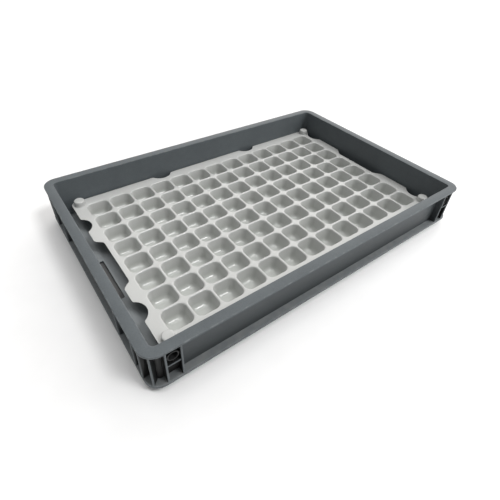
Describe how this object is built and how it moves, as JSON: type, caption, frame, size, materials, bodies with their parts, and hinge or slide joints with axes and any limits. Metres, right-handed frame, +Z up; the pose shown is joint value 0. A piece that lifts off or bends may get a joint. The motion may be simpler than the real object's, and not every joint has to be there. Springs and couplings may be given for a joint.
{
  "type": "stacking crate with pocketed insert tray",
  "caption": "Low grey stacking crate with ribbed corners, holding a pale thermoformed insert tray with rows of rounded square pockets.",
  "frame": {"origin": "middle of the crate's footprint, on the ground under its foot", "axes": "+X along the crate's long side, +Y along its short side, +Z up; the front, nearest the viewer in the usual view, is -Y"},
  "size_m": [0.6, 0.4, 0.075],
  "materials": {
    "crate_plastic": "dark slate-grey injection-moulded polypropylene with a fine matt grain and a slight sheen on the edges",
    "tray_plastic": "pale warm-grey thermoformed polystyrene sheet, satin on the flat deck and glossier in the stretched pockets"
  },
  "bodies": {
    "root": {"crate": "crate_plastic", "insert_tray": "tray_plastic"}
  },
  "joints": []
}
